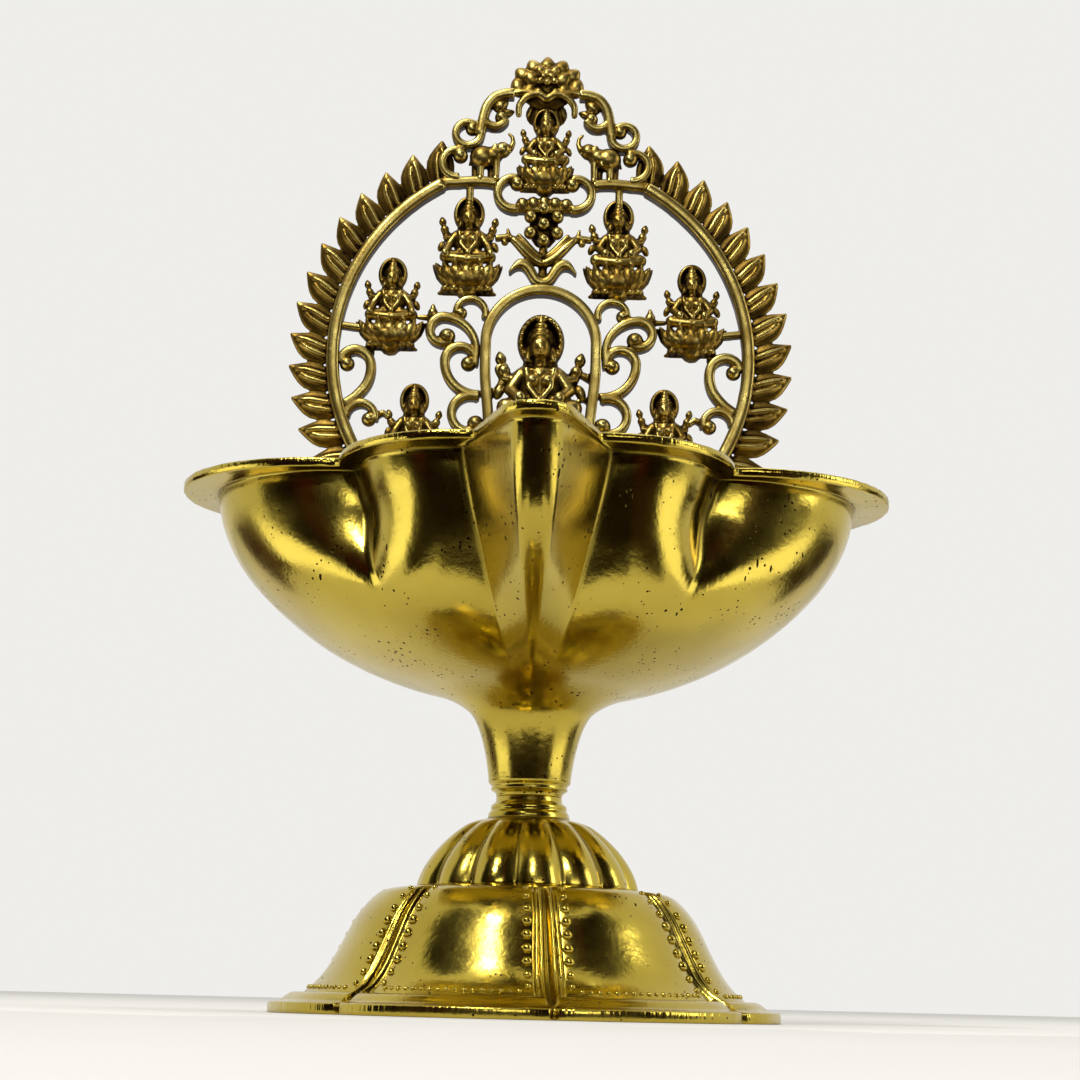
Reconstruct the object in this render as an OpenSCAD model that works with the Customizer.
// Cast brass oil lamp: petalled foot, fluted dome, lobed bowl with a wick spout,
// and a pierced arch back plate with eight small seated figures.
// Millimetres. +Z is up, the spout points to -Y and the back plate stands at +Y.
// The origin is the centre of the foot's underside, on the stem's axis.

/* [Foot] */
// Largest radius of the foot
foot_r = 49.4; // [48:0.2:51]
// Height of the skirt, up to the dome's lower edge
foot_h = 24.2; // [23.6:0.2:24.8]
// Petals round the foot; the dome has twice as many flutes
petals = 7; // [6:1:8]
// Angle from the spout to the nearest rib between two petals
base_turn = 6.6; // [0:0.2:12]
// Thickness of the skirt's casting
foot_wall = 2.2; // [1.8:0.1:2.6]

/* [Dome and neck] */
// Radius of the dome's lower edge
dome_r = 21.8; // [21:0.2:22.4]
// Height of the joint between the base and the bowl's stem
neck_z = 42.4; // [42:0.2:43]
// Radius of the neck at that joint
neck_r = 6.5; // [6.2:0.1:7]
// Wall of the hollow dome
dome_wall = 2.4; // [2:0.1:2.8]

/* [Bowl] */
// Radius of the bowl's side wall at the rim
bowl_r = 63; // [62:0.5:64]
// Height of the rim's top face above the ground
rim_z = 101.8; // [101:0.2:102.6]
// Thickness of the rim flange
rim_t = 1.8; // [1.6:0.1:2.2]
// Width of the rim flange beyond the wall
rim_w = 7; // [6:0.2:7.4]
// Forward reach of the spout's wall
spout_y = 74.6; // [72:0.2:76]
// Wall thickness of the bowl
bowl_wall = 2; // [1.8:0.1:2.4]

/* [Stud and nut] */
// Diameter of the threaded stud that joins the bowl to the base
stud_d = 6; // [5:0.5:6]
// Radial running clearance of the stud in the collar
stud_gap = 0.05; // [0.03:0.01:0.08]

/* [Back plate] */
// Distance from the stem's axis to the middle of the plate
plate_y = 47.2; // [46.8:0.1:47.4]
// Depth of the plate's bars, front to back
plate_t = 4.5; // [4:0.1:4.6]
// Height of the ring arch's centre
ring_z = 147; // [146:0.5:148]
// Radius of the ring arch's centreline
ring_r = 47.4; // [47:0.2:48]
// Width of the ring arch's bar
ring_w = 3.2; // [2.8:0.1:3.6]
// Length of a border leaf beyond the ring
leaf_l = 8.4; // [7:0.2:9]
// Border leaves on each side
leaves = 16; // [14:1:16]

/* [Figures] */
// Height of a small seated figure with its lotus
figure_h = 23.5; // [22:0.5:24]
// Width of a small figure over its lotus
figure_w = 17; // [15:0.5:17.5]
// Height of the two upper figures, which are a little taller
upper_h = 25.3; // [23:0.1:25.6]
// Height of the centre figure above its pedestal
centre_h = 37; // [35:0.5:38]

/* [Hidden] */
$fn = 48;

skin = "#b39a3c";    // polished yellow brass
dark = "#8c7632";    // the plate's browner brass
steel = "#a8a8a0";

petal_a = 360/petals;
flute_n = 2*petals;
cut = 0.6;                           // how far a loft runs past the face that trims it

rim_under = rim_z - rim_t;
shank_r = stud_d/2;
boss_z = 31.6;                       // underside of the boss inside the dome
washer_t = 1.2;
nut_t = 5;
nut_af = 10;
stud_low = 24.4;
stud_top = 56;

tab_t = 1.6;
tab_y = 55.2;                        // rear edge of the plate's fixing tab
screw_x = 16;
screw_y = 52.3;
screw_r = 1.5;
screw_nut_t = 2.2;

plate_foot_h = 4;
plate_top = rim_z + plate_foot_h;
bar_z = 188.8;                       // height of the straight bars at the ring's top
bar_in = 11.5;                       // where those bars end beside the top lotus
niche_w = 12.6;                      // half width of the niche arch, to its centreline
niche_z = 150.2;                       // height where the niche's half circle starts
niche_foot = 9.6;                    // half width of the niche at its foot
centre_top = 158;                    // height of the centre figure's crown

// ---- curves and lofts ----

function mix(a, b, t) = a + (b - a)*t;
function clamp01(t) = max(0, min(1, t));
function smooth(a, b, v) = let (t = clamp01((v - a)/(b - a))) t*t*(3 - 2*t);
function bezier(p, t) = let (s = 1 - t)
    s*s*s*p[0] + 3*s*s*t*p[1] + 3*s*t*t*p[2] + t*t*t*p[3];
function curve(p, n) = [for (i = [0:n]) bezier(p, i/n)];

// Closed solid through equal rings of points, with flat caps at both ends
module loft(rings) {
    n = len(rings[0]);
    last = len(rings) - 1;
    points = [for (ring = rings) each ring];
    sides = [for (k = [0:last - 1]) for (i = [0:n - 1]) let (j = (i + 1) % n)
        each [[k*n + i, (k + 1)*n + i, (k + 1)*n + j], [k*n + i, (k + 1)*n + j, k*n + j]]];
    caps = [[for (i = [0:n - 1]) i], [for (i = [n - 1:-1:0]) last*n + i]];
    polyhedron(points, concat(sides, caps));
}

// The same without caps: the last ring closes onto the first
module loft_loop(rings) {
    n = len(rings[0]);
    m = len(rings);
    points = [for (ring = rings) each ring];
    sides = [for (k = [0:m - 1]) for (i = [0:n - 1]) let (j = (i + 1) % n, up = (k + 1) % m)
        each [[k*n + i, up*n + i, up*n + j], [k*n + i, up*n + j, k*n + j]]];
    polyhedron(points, sides);
}

// ---- foot and dome ----

// Skirt profile as [radius, height], from the flange up to the dome
skirt = concat([[foot_r, -cut], [foot_r, 2], [foot_r - 2.8, 2.5]],
    curve([[foot_r - 5, 3.2], [39, 5.4], [37.6, 10], [35.1, 14.6]], 4),
    curve([[34.4, 16.2], [32.8, 19.6], [30, foot_h], [dome_r, foot_h]], 5),
    [[dome_r - 2.6, foot_h]]);

// A petal bulges between two ribs; u runs from -1 to 1 across it
function petal_cut(u, h) = mix(0.045, 0.075, clamp01(h/foot_h))*pow(abs(u), 4);
function petal_u(a) = let (k = (a - base_turn)/petal_a) 2*(k - floor(k)) - 1;
foot_steps = 14*petals;
function spin(a) = [sin(a), -cos(a)];      // angle from the spout, turning towards +X
function skirt_ring(r, h, in) = [for (i = [0:foot_steps - 1])
    let (a = base_turn + 360*i/foot_steps, q = r*(1 - petal_cut(petal_u(a), h)) - in)
    [q*spin(a)[0], q*spin(a)[1], h]];

module foot() {
    outside = [for (p = skirt) skirt_ring(p[0], p[1], 0)];
    hollow = [skirt_ring(dome_r - 0.4, foot_h - foot_wall, foot_wall),
        skirt_ring(30, 20.6, foot_wall), skirt_ring(34.4, 14.6, foot_wall),
        skirt_ring(37.6, 7, foot_wall), skirt_ring(foot_r - 5, 1.2, foot_wall),
        skirt_ring(foot_r - 5.4, -cut, foot_wall)];
    color(skin) difference() {
        loft_loop(concat(outside, hollow));
        translate([-foot_r*2, -foot_r*2, -10]) cube([foot_r*4, foot_r*4, 10]);
    }
}

dome_steps = 8*flute_n;
dome_curve = concat([[dome_r, foot_h]],
    curve([[dome_r - 0.4, 25.6], [20.2, 29.8], [17, 33.6], [12.6, 36.6]], 7), [[8.6, 38.4]]);
function flute_cut(a) = 0.075*(1 - abs(cos(flute_n*(a - base_turn)/2)));
function dome_ring(r, h) = [for (i = [0:dome_steps - 1])
    let (a = base_turn + 360*(i + 0.5)/dome_steps, q = r*(1 - flute_cut(a)*smooth(8.6, 13, r)))
    [q*spin(a)[0], q*spin(a)[1], h]];

module fluted_dome() {
    cavity = [[0, foot_h - 1], [dome_r - dome_wall - 1.2, foot_h - 1],
        [dome_r - dome_wall - 1.6, 27.4], [15, boss_z], [0, boss_z]];
    color(skin) difference() {
        union() {
            loft([for (p = dome_curve) dome_ring(p[0], p[1])]);
            rotate_extrude($fn = 96) polygon([[0, 37], [8, 37.8], [8, 39.2], [7.3, 40.6],
                [neck_r, 41.8], [neck_r, neck_z], [0, neck_z]]);
        }
        rotate_extrude($fn = 96) polygon(cavity);
        cylinder(r = shank_r + stud_gap, h = 60);
    }
}

// ---- stud, washer and nut under the dome ----

module stud_washer() {
    color(steel) translate([0, 0, boss_z - washer_t]) difference() {
        cylinder(r = 8, h = washer_t);
        translate([0, 0, -1]) cylinder(r = shank_r + 0.2, h = 4);
    }
}

module stud() {
    color(skin) translate([0, 0, stud_low]) cylinder(r = shank_r, h = stud_top - stud_low);
}

module stud_nut() {
    color(skin) translate([0, 0, boss_z - washer_t - nut_t]) difference() {
        cylinder(r = nut_af/sqrt(3), h = nut_t, $fn = 6);
        translate([0, 0, -1]) cylinder(r = shank_r, h = nut_t + 2);
    }
}

// ---- bowl ----

// A lobe of the rim in plan: [start angle, end angle, start radius, end radius, bulge]
wall_lobes = [[15, 46, 53.2, 46.4, 4.6], [46, 106, 46.4, 54, bowl_r - 49.8],
    [106, 150, 54, 49.5, 5.5], [150, 180, 49.5, 45, 0]];
flange_lobes = [[11, 46.5, 59.6, 51, 4.6], [46.5, 106, 51, 60, bowl_r + rim_w - 55.2],
    [106, 150, 60, 57.5, 5], [150, 180, 57.5, 56, 1]];
keel_r = 5;                          // radius of the spout's keel at the rim
lip_r = 6.5;                         // radius of the rim flange's tip

function lobe_radius(lobe, a) = let (u = (a - lobe[0])/(lobe[1] - lobe[0]))
    mix(lobe[2], lobe[3], u) + lobe[4]*4*u*(1 - u);
function plan_radius(a, lobes) = let (hit = [for (lobe = lobes) if (a <= lobe[1]) lobe])
    lobe_radius(hit[0], a);
// The spout in plan, as [across, forward]: a round keel, then a straight side to the crease
function spout_point(t, tip, crease, r) = let (
    k = min(r, 0.4*norm(crease - [0, tip])),
    c = [0, tip - k],
    d = crease - c,
    side = atan2(d[1], d[0]) + acos(k/norm(d)),
    turn = mix(90, side, min(1, 2*t)))
    mix(c + k*[cos(turn), sin(turn)], crease, max(0, 2*t - 1));

// Angles of the points round half of a rim: eight in the spout, then ten to a lobe
function half_angles(lobes) = concat([for (i = [0:7]) lobes[0][0]*i/8],
    [for (lobe = lobes) for (i = [0:9]) mix(lobe[0], lobe[1], i/10)], [180]);
wall_half = half_angles(wall_lobes);
half_n = len(wall_half);
function both_sides(list) = concat(list, [for (i = [half_n - 2:-1:1]) list[i]]);
function side_of(i) = i < half_n ? 1 : -1;

// Height profile of the side wall as [radius, height], from the stem to the rim
stem_curve = concat([[neck_r, neck_z], [7.6, 44], [7.4, 44.4], [8.1, 45.2]],
    curve([[8.2, 47.4], [9.4, 55], [10.6, 59], [16, 61.8]], 4));
wall_curve = concat(curve([[21, 63.2], [35, 66.4], [48, 74], [56.2, 83.4]], 6),
    curve([[58, 85.8], [60.6, 90], [62, 95], [bowl_r, rim_under]], 3));

// How far the rim's lobes show at a height: the spout's creases run down to the stem,
// the next pair fade half way, and the rear is flat from low down
function lobe_weight(a, h) = mix(mix(smooth(60, 84, h), smooth(69, 94, h), smooth(14, 40, a)),
    smooth(58, 84, h), smooth(96, 146, a));
// The creases also draw in towards the middle on the way down
function turned(a, h) = a*mix(0.55, 1, mix(clamp01((h - 60)/40), 1, smooth(20, 90, a)));

function wall_point(a, r, h, in) = let (b = turned(a, h),
    q = r*(1 + (plan_radius(a, wall_lobes)/bowl_r - 1)*lobe_weight(a, h)) - in)
    q*[sin(b), cos(b)];
function wall_ring(r, h, in) = let (
    a0 = wall_lobes[0][0],
    crease = wall_point(a0, r, h, in),
    tip = r*(1 + (spout_y/bowl_r - 1)*lobe_weight(a0, h)) - in*1.5)
    [for (i = [0:2*half_n - 3])
        let (a = both_sides(wall_half)[i],
            p = a < a0 ? spout_point(a/a0, tip, crease, mix(1.2, keel_r, smooth(62, rim_under, h)))
                : wall_point(a, r, h, in))
        [side_of(i)*p[0], -p[1], h]];
function flange_ring(h) = let (
    a0 = flange_lobes[0][0],
    crease = flange_lobes[0][2]*[sin(a0), cos(a0)])
    [for (i = [0:2*half_n - 3])
        let (a = both_sides(half_angles(flange_lobes))[i],
            p = a < a0 ? spout_point(a/a0, spout_y + 4.6, crease, lip_r)
                : plan_radius(a, flange_lobes)*[sin(a), cos(a)])
        [side_of(i)*p[0], -p[1], h]];

module bowl() {
    outside = [for (p = concat(stem_curve, wall_curve)) wall_ring(p[0], p[1], 0)];
    rim = [flange_ring(rim_under), flange_ring(rim_z), wall_ring(bowl_r, rim_z, bowl_wall)];
    inside = [for (i = [len(wall_curve) - 2:-2:0])
        wall_ring(wall_curve[i][0], wall_curve[i][1] + bowl_wall*0.8, bowl_wall)];
    color(skin) difference() {
        loft(concat(outside, rim, inside));
        cylinder(r = shank_r, h = stud_top);
        for (s = [-1, 1])
            translate([s*screw_x, screw_y, rim_z - 20]) cylinder(r = screw_r + 0.1, h = 40);
    }
}

// ---- back plate: helpers drawn in the plate's own plane, X across and Y up ----

facets = 10;                         // sides of the small rounded details

module in_plate() {
    translate([0, plate_y, 0]) rotate([90, 0, 0]) children();
}

// A bar of rounded-square section bent round an arc
module arc_bar(x, y, r, from, to, w = 2.2, t = plate_t) {
    c = w/4;
    section = [[-w/2, -t/2], [w/2, -t/2], [w/2, t/2 - c], [w/2 - c, t/2], [-w/2 + c, t/2],
        [-w/2, t/2 - c]];
    translate([x, y, 0]) rotate([0, 0, from]) rotate_extrude(angle = to - from)
        translate([r, 0]) polygon(section);
}

module bar(x0, y0, x1, y1, w = 2.2, t = plate_t) {
    length = norm([x1 - x0, y1 - y0]);
    translate([x0, y0, -t/2]) rotate([0, 0, atan2(y1 - y0, x1 - x0)])
        translate([0, -w/2, 0]) cube([length, w, t]);
}

module ball(x, y, r, z = 0) {
    translate([x, y, z]) sphere(r = r, $fn = facets);
}

// An arc that ends in a knob on its inner side, at the end angle
module curl(x, y, r, from, to, w, t, knob) {
    arc_bar(x, y, r, min(from, to), max(from, to), w, t);
    ball(x + (r - knob*0.75)*cos(to), y + (r - knob*0.75)*sin(to), knob);
}

module limb(a, b, r) {
    d = b - a;
    l = norm(d);
    translate(a) rotate([0, acos(d[2]/l), atan2(d[1], d[0])])
        cylinder(r = r, h = l, $fn = facets);
}

// ---- ring arch with its border of leaves ----

leaf_first = -51.7;
leaf_step = 7.6;
ring_end = 60;

module leaf() {
    outline = [[-0.5, -2.9], [3, -3.2], [6, -1.6], [leaf_l + 0.8, 1.6], [5.4, 2.6], [2.4, 2.6],
        [-0.5, 2.4]];
    translate([0, 0, -plate_t/2]) linear_extrude(plate_t - 1) polygon(outline);
}

module arch_side(s) {
    low = asin((rim_z + 0.5 - ring_z)/(ring_r + ring_w/2));
    color(dark) in_plate() mirror([s > 0 ? 0 : 1, 0, 0]) {
        arc_bar(0, ring_z, ring_r, low, ring_end, ring_w);
        bar(bar_in, bar_z, ring_r*cos(ring_end) + 1.2, bar_z, 2.4, plate_t - 1);
        bar(upper[0], upper[1] + upper_h - 1.6, upper[0], bar_z, 1.8, 3);
        for (i = [0:leaves - 1]) let (a = leaf_first + i*leaf_step)
            translate([0, ring_z, 0]) rotate([0, 0, a])
                translate([ring_r + ring_w/2, 0, 0]) leaf();
    }
}

module arch_left() {
    arch_side(-1);
}

module arch_right() {
    arch_side(1);
}

// ---- niche arch, scrolls and bracket ----

module niche_arch() {
    color(dark) in_plate() {
        arc_bar(0, niche_z, niche_w, 0, 180, 2.4);
        for (s = [-1, 1])
            bar(s*niche_w, niche_z + 0.4, s*niche_foot, plate_top, 2.4);
    }
}

// Curls between the niche and the middle figures
module niche_scrolls(s) {
    color(dark) in_plate() mirror([s > 0 ? 0 : 1, 0, 0]) {
        curl(16.4, 156.9, 3.6, 200, 0, 1.7, 3.2, 1.5);
        arc_bar(22.6, 148, 7.9, 87, 192, 1.8, 3.4);
        curl(22.2, 152.6, 3.3, 96, -120, 2.2, 3.7, 1.9);
        arc_bar(14, 145.3, 7.8, -96, 6, 1.8, 3.4);
        curl(18.2, 145.4, 3.6, -2, 195, 2.2, 3.8, 1.7);
        curl(15.6, 133, 4.4, 112, -120, 2.2, 3.8, 1.9);
    }
}

module niche_scrolls_left() {
    niche_scrolls(-1);
}

module niche_scrolls_right() {
    niche_scrolls(1);
}

// Curls that hold the middle and lower figures to the ring
module side_scrolls(s) {
    color(dark) in_plate() mirror([s > 0 ? 0 : 1, 0, 0]) {
        bar(41, middle[1] + 5, 46, middle[1] + 5, 1.8, 3.2);
        arc_bar(42, 143.8, 3.6, -10, 182, 1.9, 3.6);
        arc_bar(46.9, 143.6, 8.5, 180, 252, 1.9, 3.6);
        ball(44.2, 143.6, 1.7);
        curl(40.4, 131.6, 3.5, 0, 190, 1.9, 3.6, 1.6);
        bar(37.6, 131.4, 34, 131.8, 1.6, 3);
        arc_bar(lower[0], 113.6, 3.4, 0, 360, 1.9, 3.6);
    }
}

module side_scrolls_left() {
    side_scrolls(-1);
}

module side_scrolls_right() {
    side_scrolls(1);
}

module leaf_bracket() {
    color(dark) in_plate() {
        translate([-1, niche_z + niche_w, -1.6]) cube([2, 11.2, 3.2]);
        for (s = [0, 1]) mirror([s, 0, 0]) {
            bar(-0.4, 164.8, 5, 168.8, 2, 3.6);
            bar(4.4, 168.8, 7.4, 167.2, 1.7, 3.2);
            bar(-0.4, 169.6, 6.6, 174.6, 2.4, 3.4);
            bar(5.2, 175, 11.2, 175.4, 1.4, 2.4);
        }
    }
}

module bead_pendant() {
    color(dark) in_plate() {
        translate([-2.6, 173.6, -1.6]) cube([5.2, 9.8, 2.2]);
        for (p = [[0, 174.6], [0, 178.2], [0, 181.8], [-2.6, 176.6], [2.6, 176.6],
                [-2.8, 180], [2.8, 180]])
            ball(p[0], p[1], 1.5, 0.7);
    }
}

module lotus_scroll() {
    color(dark) in_plate() {
        for (s = [0, 1]) mirror([s, 0, 0])
            curl(7, 186.4, 4, -100, 100, 1.8, 3.6, 1.7);
        translate([-6.6, 181.6, -1.8]) cube([13.2, 5.2, 3.5]);
    }
}

// ---- seated figures, drawn from the seat up at full size, then scaled ----

// h is the height from the lotus to the crown, w the width over the lotus
module seated(h, w, depth = 6.4) {
    $fn = 12;
    k = h/23.5;
    intersection() {
        union() {
            translate([0, 0.8*k, 0]) rotate([-90, 0, 0]) cylinder(r1 = 3*k, r2 = w/2, h = 5*k);
            rotate([-90, 0, 0]) cylinder(r = 4.6*k, h = 1.2*k);
        }
        translate([-w, -1, -depth/2]) cube([2*w, 8*k, depth]);
    }
    limb([-5.2*k, 7*k, 0.5], [5.2*k, 7*k, 0.5], 1.9*k);
    for (s = [-1, 1]) {
        ball(s*5.2*k, 7*k, 2.1*k, 0.5);
        limb([s*1.6*k, 13.2*k, 0], [s*4.4*k, 8.6*k, 0.6], 0.9*k);
        limb([s*1.6*k, 13.4*k, 0], [s*6.2*k, 14.2*k, 0.4], 0.8*k);
        ball(s*6.4*k, 14.4*k, 1.2*k, 0.4);
    }
    translate([0, 6.4*k, 0]) rotate([-90, 0, 0]) cylinder(r1 = 2.2*k, r2 = 2.6*k, h = 7.2*k);
    ball(0, 13.6*k, 2.8*k);
    translate([0, 15*k, 0.3]) rotate([-90, 0, 0]) cylinder(r = 1.1*k, h = 3*k);
    ball(0, 18.4*k, 2.1*k, 0.6);
    translate([0, 19.4*k, 0.4]) rotate([-90, 0, 0]) cylinder(r1 = 1.8*k, r2 = 0.7*k, h = 3*k);
    translate([0, 19*k, -depth/2 + 0.4]) cylinder(r = 3.6*k, h = 1.9);
}

module placed(x, z, h, w) {
    color(dark) in_plate() translate([x, z, 0]) seated(h, w);
}

upper = [17.3, 161.2];
middle = [34.4, 147.6];
lower = [28.4, 117.6];

module figure_upper_left() {
    placed(-upper[0], upper[1], upper_h, figure_w);
}

module figure_upper_right() {
    placed(upper[0], upper[1], upper_h, figure_w);
}

module figure_middle_left() {
    placed(-middle[0], middle[1], figure_h, figure_w);
}

module figure_middle_right() {
    placed(middle[0], middle[1], figure_h, figure_w);
}

module figure_lower_left() {
    placed(-lower[0], lower[1], figure_h, figure_w);
}

module figure_lower_right() {
    placed(lower[0], lower[1], figure_h, figure_w);
}

module figure_top() {
    placed(0, 186.6, 22, 14);
}

module figure_centre() {
    pedestal_h = centre_top - centre_h - plate_top;
    color(dark) in_plate() {
        translate([0, centre_top - centre_h, 0]) seated(centre_h - 0.4, 19);
        translate([-7, plate_top, -2]) cube([14, pedestal_h + 0.4, 4]);
    }
}

// ---- elephants, canopy and crest ----

module elephant(s) {
    color(dark) in_plate() mirror([s > 0 ? 0 : 1, 0, 0]) translate([13.4, bar_z + 1, 0]) {
        ball(1.4, 4.8, 2.9);
        limb([-3, 6.4, 0.2], [1.4, 5, 0], 1.9);
        ball(-3, 6.6, 2.2, 0.2);
        for (x = [-0.8, 2.6])
            limb([x, -0.4, 0], [x, 4.2, 0], 1);
        limb([-4.2, 7.4, 0.2], [-5.2, 11.2, 0.2], 0.8);
    }
}

module elephant_left() {
    elephant(-1);
}

module elephant_right() {
    elephant(1);
}

module canopy(s) {
    color(dark) in_plate() mirror([s > 0 ? 0 : 1, 0, 0]) {
        arc_bar(9.8, 205.6, 4.9, -2, 112, 1.9, 3.8);
        curl(11.8, 205.4, 2.9, 4, -160, 1.6, 3.4, 1.3);
        bar(14.7, 206, 15.3, 200.4, 1.8, 3.6);
        curl(18.2, 200.7, 3, -180, 130, 1.6, 3.4, 1.4);
        curl(20.4, 193.4, 3.6, -100, 110, 1.7, 3.4, 1.7);
    }
}

module canopy_left() {
    canopy(-1);
}

module canopy_right() {
    canopy(1);
}

// A lotus bud with side leaves over a short canopy
module crest() {
    color(dark) in_plate() {
        ball(0, 215.4, 2.9, 0.6);
        translate([0, 217.2, 0.4]) rotate([-90, 0, 0])
            cylinder(r1 = 2, r2 = 0.5, h = 3.8, $fn = facets);
        for (s = [-1, 1]) {
            ball(s*3.4, 216.6, 2.1, 0.4);
            ball(s*6, 214, 2, 0);
            ball(s*2.6, 213, 1.9, 0.6);
        }
        translate([-8.8, 207, -2]) cube([17.6, 4.6, 3.8]);
    }
}

// ---- plate's foot, screws and nuts ----

module plate_foot() {
    front = plate_y - plate_t/2;
    color(dark) difference() {
        union() {
            translate([-24, front, rim_z]) cube([48, plate_t, plate_foot_h]);
            translate([-21, front, rim_z]) cube([42, tab_y - front, tab_t]);
        }
        for (s = [-1, 1])
            translate([s*screw_x, screw_y, rim_z - 1]) cylinder(r = screw_r + 0.1, h = 5);
    }
}

module plate_screws() {
    color(skin) for (s = [-1, 1]) translate([s*screw_x, screw_y, 0]) {
        translate([0, 0, rim_under - 3]) cylinder(r = screw_r, h = rim_t + tab_t + 3.4);
        translate([0, 0, rim_z + tab_t]) difference() {
            cylinder(r1 = 2.6, r2 = 2.2, h = 1.8);
            translate([-4, -0.4, 1.1]) cube([8, 0.8, 2]);
        }
    }
}

module plate_nuts() {
    color(skin) for (s = [-1, 1])
        translate([s*screw_x, screw_y, rim_under - screw_nut_t]) difference() {
            cylinder(r = 3.1, h = screw_nut_t, $fn = 6);
            translate([0, 0, -1]) cylinder(r = screw_r, h = 5);
        }
}

foot();
fluted_dome();
stud_washer();
bowl();
stud();
stud_nut();
plate_foot();
plate_screws();
plate_nuts();
arch_left();
arch_right();
niche_arch();
niche_scrolls_left();
niche_scrolls_right();
side_scrolls_left();
side_scrolls_right();
figure_centre();
figure_top();
figure_upper_left();
figure_upper_right();
figure_middle_left();
figure_middle_right();
figure_lower_left();
figure_lower_right();
lotus_scroll();
bead_pendant();
leaf_bracket();
elephant_left();
elephant_right();
canopy_left();
canopy_right();
crest();
